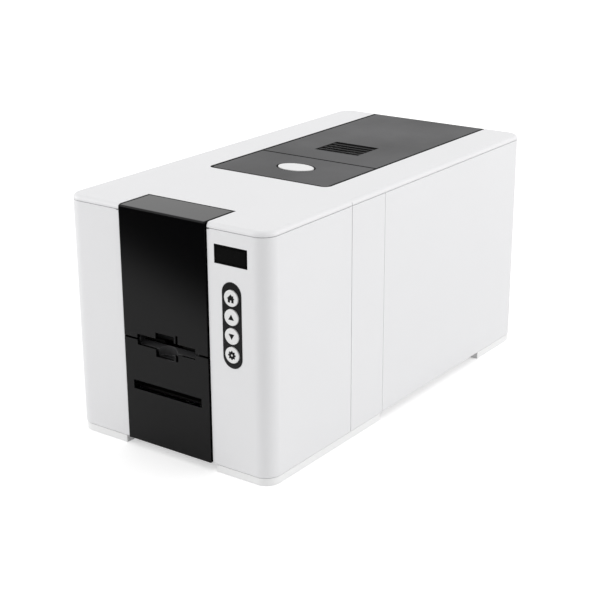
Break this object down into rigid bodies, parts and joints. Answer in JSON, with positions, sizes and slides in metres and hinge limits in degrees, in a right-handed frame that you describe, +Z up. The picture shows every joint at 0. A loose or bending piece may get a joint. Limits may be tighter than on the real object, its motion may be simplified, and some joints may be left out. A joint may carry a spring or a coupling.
{
  "type": "id card printer",
  "caption": "Desktop card printer: white case, black front strip with hopper door and card slots, hinged cover over hopper, rollers, print head and ribbon.",
  "frame": {"origin": "middle of the object's base, on the surface it stands on", "axes": "+X to the right seen from the front, +Y to the rear, +Z up"},
  "size_m": [0.1924, 0.3866, 0.1965],
  "materials": {
    "white_plastic": "fine matte moulded",
    "foot_plastic": "fine matte moulded",
    "black_plastic": "satin moulded",
    "insert_grey": "fine matte moulded",
    "key_white": "satin moulded, printed symbols",
    "bezel_black": "semi-gloss",
    "window_black": "smoked, polished",
    "inner_black": "moulded",
    "fan_black": "moulded",
    "steel": "zinc plated sheet",
    "bright_steel": "ground rod",
    "rubber_black": "matte rubber",
    "roller_blue": "tacky cleaning sleeve",
    "pinch_grey": "matte rubber",
    "aluminium": "extruded",
    "cassette_plastic": "moulded",
    "spool_film": "wound film",
    "spool_dark": "wound film on core",
    "film_dye": "dye film",
    "belt_rubber": "toothed belt",
    "motor_metal": "painted steel",
    "board_green": "solder mask",
    "socket_black": "moulded"
  },
  "bodies": {
    "case": {"base_pan": "white_plastic", "front_feet": "foot_plastic", "rear_feet": "foot_plastic", "front_housing": "white_plastic", "lower_panel": "black_plastic", "mouth_liner": "black_plastic", "pillar_left": "white_plastic", "pillar_right": "white_plastic", "side_panel_left": "white_plastic", "side_panel_right": "white_plastic", "rear_panel": "white_plastic", "rear_screws": "bright_steel", "display_window": "window_black", "key_bezel": "bezel_black", "control_board": "board_green", "cover_hinge_pins": "bright_steel", "side_plate_left": "steel", "side_plate_right": "steel", "cross_ties": "bright_steel", "input_hopper": "inner_black", "ribbon_cassette": "cassette_plastic", "ribbon_film": "film_dye", "drive_motor": "motor_metal", "drive_belts": "belt_rubber", "output_chute": "inner_black", "main_board": "board_green", "power_switch": "socket_black", "rear_sockets": "socket_black"},
    "cover": {"top_cover": "white_plastic", "cover_insert_front": "insert_grey", "cover_insert_rear": "insert_grey", "latch_pin": "bright_steel", "fan_frame": "fan_black", "head_bracket": "steel", "print_head": "aluminium"},
    "hopper_door": {"hopper_door": "black_plastic"},
    "cover_button": {"cover_button": "key_white"},
    "cover_latch": {"cover_latch": "inner_black"},
    "fan_rotor": {"fan_rotor": "fan_black"},
    "key_home": {"key_home": "key_white"},
    "key_up": {"key_up": "key_white"},
    "key_down": {"key_down": "key_white"},
    "key_menu": {"key_menu": "key_white"},
    "card_weight": {"card_weight": "inner_black"},
    "pick_shaft": {"pick_shaft": "bright_steel", "pick_roller": "rubber_black"},
    "feed_shaft": {"feed_shaft": "bright_steel", "feed_roller": "rubber_black"},
    "platen_shaft": {"platen_shaft": "bright_steel", "platen_roller": "rubber_black"},
    "exit_shaft": {"exit_shaft": "bright_steel", "exit_roller": "rubber_black"},
    "feed_pinch_roller": {"feed_pinch_roller": "pinch_grey"},
    "exit_pinch_roller": {"exit_pinch_roller": "pinch_grey"},
    "cleaning_roller": {"cleaning_roller": "roller_blue"},
    "takeup_spool": {"takeup_spool": "spool_dark"},
    "supply_spool": {"supply_spool": "spool_film"},
    "motor_pulley": {"motor_pulley": "bright_steel"},
    "diverter": {"diverter": "inner_black"},
    "power_rocker": {"power_rocker": "socket_black"}
  },
  "joints": [
    {"name": "cover_hinge", "type": "hinge", "parent": "case", "child": "cover", "pos_m": [0, 0.1907, 0.1921], "axis": [-1, 0, 0], "range_deg": [0, 75]},
    {"name": "door_hinge", "type": "hinge", "parent": "cover", "child": "hopper_door", "pos_m": [0, -0.1597, 0.1947], "axis": [-1, 0, 0], "range_deg": [0, 95]},
    {"name": "button_press", "type": "slide", "parent": "cover", "child": "cover_button", "axis": [0, 0, -1], "range_m": [0, 0.002], "stiffness_N_per_m": 400, "springref_m": -0.001},
    {"name": "latch_turn", "type": "hinge", "parent": "cover", "child": "cover_latch", "pos_m": [0, -0.0053, 0.18377], "axis": [1, 0, 0], "range_deg": [0, 7]},
    {"name": "fan_spin", "type": "hinge", "parent": "cover", "child": "fan_rotor", "pos_m": [-0.00135, 0.0529, 0.18727], "axis": [0, 0, 1], "continuous": true},
    {"name": "key_home_press", "type": "slide", "parent": "case", "child": "key_home", "axis": [0, 1, 0], "range_m": [0, 0.0007], "stiffness_N_per_m": 500, "springref_m": -0.0005},
    {"name": "key_up_press", "type": "slide", "parent": "case", "child": "key_up", "axis": [0, 1, 0], "range_m": [0, 0.0007], "stiffness_N_per_m": 500, "springref_m": -0.0005},
    {"name": "key_down_press", "type": "slide", "parent": "case", "child": "key_down", "axis": [0, 1, 0], "range_m": [0, 0.0007], "stiffness_N_per_m": 500, "springref_m": -0.0005},
    {"name": "key_menu_press", "type": "slide", "parent": "case", "child": "key_menu", "axis": [0, 1, 0], "range_m": [0, 0.0007], "stiffness_N_per_m": 500, "springref_m": -0.0005},
    {"name": "weight_slide", "type": "slide", "parent": "case", "child": "card_weight", "axis": [0, 0, 1], "range_m": [0, 0.07]},
    {"name": "platen_spin", "type": "hinge", "parent": "case", "child": "platen_shaft", "pos_m": [0, -0.0041, 0.0833], "axis": [1, 0, 0], "continuous": true},
    {"name": "pick_spin", "type": "hinge", "parent": "case", "child": "pick_shaft", "pos_m": [0, -0.1301, 0.0833], "axis": [1, 0, 0], "continuous": true},
    {"name": "feed_spin", "type": "hinge", "parent": "case", "child": "feed_shaft", "pos_m": [0, -0.0741, 0.0833], "axis": [1, 0, 0], "continuous": true},
    {"name": "exit_spin", "type": "hinge", "parent": "case", "child": "exit_shaft", "pos_m": [0, 0.0239, 0.0833], "axis": [1, 0, 0], "continuous": true},
    {"name": "motor_spin", "type": "hinge", "parent": "case", "child": "motor_pulley", "pos_m": [0, -0.0421, 0.0348], "axis": [1, 0, 0], "continuous": true},
    {"name": "feed_pinch_spin", "type": "hinge", "parent": "case", "child": "feed_pinch_roller", "pos_m": [0, -0.0741, 0.0975], "axis": [1, 0, 0], "continuous": true},
    {"name": "exit_pinch_spin", "type": "hinge", "parent": "case", "child": "exit_pinch_roller", "pos_m": [0, 0.0239, 0.0975], "axis": [1, 0, 0], "continuous": true},
    {"name": "cleaning_spin", "type": "hinge", "parent": "case", "child": "cleaning_roller", "pos_m": [0, -0.0491, 0.0985], "axis": [1, 0, 0], "continuous": true},
    {"name": "supply_spin", "type": "hinge", "parent": "case", "child": "supply_spool", "pos_m": [0, 0.0389, 0.1234], "axis": [1, 0, 0], "continuous": true},
    {"name": "takeup_spin", "type": "hinge", "parent": "case", "child": "takeup_spool", "pos_m": [0, -0.0401, 0.1234], "axis": [1, 0, 0], "continuous": true},
    {"name": "diverter_tilt", "type": "hinge", "parent": "case", "child": "diverter", "pos_m": [0, 0.1039, 0.0869], "axis": [1, 0, 0], "range_deg": [0, 18]},
    {"name": "power_rock", "type": "hinge", "parent": "case", "child": "power_rocker", "pos_m": [0.05, 0.1857, 0.0308], "axis": [0, 0, -1], "range_deg": [0, 16]}
  ],
  "couplings": [
    {"joint": "latch_turn", "follows": "button_press", "rad_per_m": 52.5},
    {"joint": "pick_spin", "follows": "platen_spin", "ratio": 1},
    {"joint": "feed_spin", "follows": "platen_spin", "ratio": 1},
    {"joint": "exit_spin", "follows": "platen_spin", "ratio": 1},
    {"joint": "motor_spin", "follows": "platen_spin", "ratio": 1},
    {"joint": "feed_pinch_spin", "follows": "platen_spin", "ratio": -1.6},
    {"joint": "exit_pinch_spin", "follows": "platen_spin", "ratio": -1.6},
    {"joint": "cleaning_spin", "follows": "platen_spin", "ratio": -1.3333},
    {"joint": "takeup_spin", "follows": "supply_spin", "ratio": 2}
  ]
}
